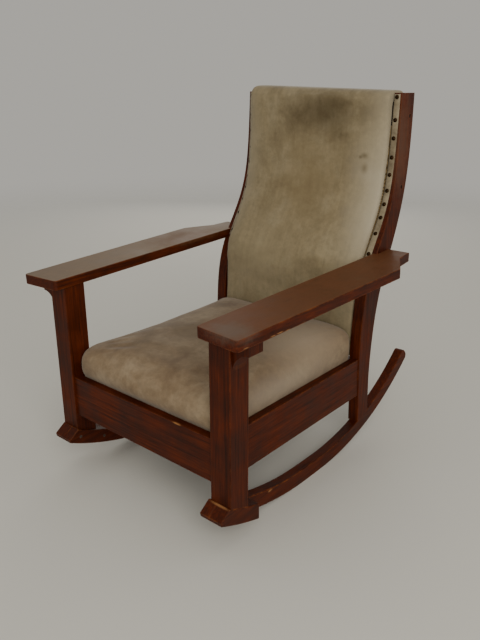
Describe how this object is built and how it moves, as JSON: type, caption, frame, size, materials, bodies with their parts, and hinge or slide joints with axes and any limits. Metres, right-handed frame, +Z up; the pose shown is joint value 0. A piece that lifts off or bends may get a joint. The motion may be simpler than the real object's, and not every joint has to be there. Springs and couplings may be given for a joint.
{
  "type": "rocking chair",
  "caption": "Rocking chair with a stained wood frame, flat board arms, curved runners, a lift-out sprung seat and a tall padded leather back.",
  "frame": {"origin": "centre of the bounding box at floor level, in the upright rest position", "axes": "+Z up, the sitter faces -Y, the sitter's left hand is on the +X side"},
  "size_m": [0.7536, 0.9132, 0.973],
  "materials": {
    "stained_oak": "oak stained dark red-brown, thin worn shellac",
    "raw_hardwood": "sawn, unfinished",
    "birch_dowel": "turned, glued in",
    "screw_steel": "aged plain steel",
    "bronzed_nail": "domed heads with a dark bronzed, rubbed surface",
    "blued_tack": "blued steel tacks",
    "spring_steel": "copper-washed spring wire, dulled",
    "jute_webbing": "woven jute straps",
    "burlap": "open plain weave",
    "stuffing": "loose fibre with cotton over it",
    "dust_cloth": "thin black cambric",
    "seat_leather": "sueded hide, rubbed and mottled by use",
    "back_leather": "sueded hide, dark stain near the top",
    "border_leather": "sueded hide strip",
    "outside_leather": "sueded hide, flat"
  },
  "bodies": {
    "chair": {"arm_dowels": "birch_dowel", "arm_left": "stained_oak", "arm_right": "stained_oak", "arm_screws": "screw_steel", "back_border_left": "border_leather", "back_border_right": "border_leather", "back_bottom_rail": "raw_hardwood", "back_burlap": "burlap", "back_cover": "back_leather", "back_middle_rail": "raw_hardwood", "back_rail_screws": "screw_steel", "back_stuffing": "stuffing", "back_top_rail": "raw_hardwood", "back_webbing": "jute_webbing", "border_nails_left": "bronzed_nail", "border_nails_right": "bronzed_nail", "cheek_screws": "screw_steel", "cleat_screws": "screw_steel", "corbel_dowels": "birch_dowel", "corbel_left": "stained_oak", "corbel_right": "stained_oak", "corner_block_screws": "screw_steel", "corner_blocks_front": "raw_hardwood", "corner_blocks_rear": "raw_hardwood", "front_post_left": "stained_oak", "front_post_right": "stained_oak", "front_rail": "stained_oak", "outside_nails": "bronzed_nail", "outside_panel": "outside_leather", "post_plugs": "stained_oak", "rear_post_left": "stained_oak", "rear_post_right": "stained_oak", "rear_rail": "stained_oak", "rocker_cheek_left": "stained_oak", "rocker_cheek_right": "stained_oak", "rocker_dowels": "birch_dowel", "rocker_left": "stained_oak", "rocker_right": "stained_oak", "seat_cleat_front": "raw_hardwood", "seat_cleat_left": "raw_hardwood", "seat_cleat_rear": "raw_hardwood", "seat_cleat_right": "raw_hardwood", "side_rail_left": "stained_oak", "side_rail_right": "stained_oak"},
    "seat": {"seat_burlap": "burlap", "seat_cover": "seat_leather", "seat_dust_cloth": "dust_cloth", "seat_frame_front": "raw_hardwood", "seat_frame_left": "raw_hardwood", "seat_frame_rear": "raw_hardwood", "seat_frame_right": "raw_hardwood", "seat_springs": "spring_steel", "seat_stuffing": "stuffing", "seat_webbing": "jute_webbing", "webbing_tacks": "blued_tack"}
  },
  "joints": [
    {"name": "seat_lift", "type": "slide", "parent": "chair", "child": "seat", "axis": [0, 0, 1], "range_m": [0, 0.11]}
  ]
}
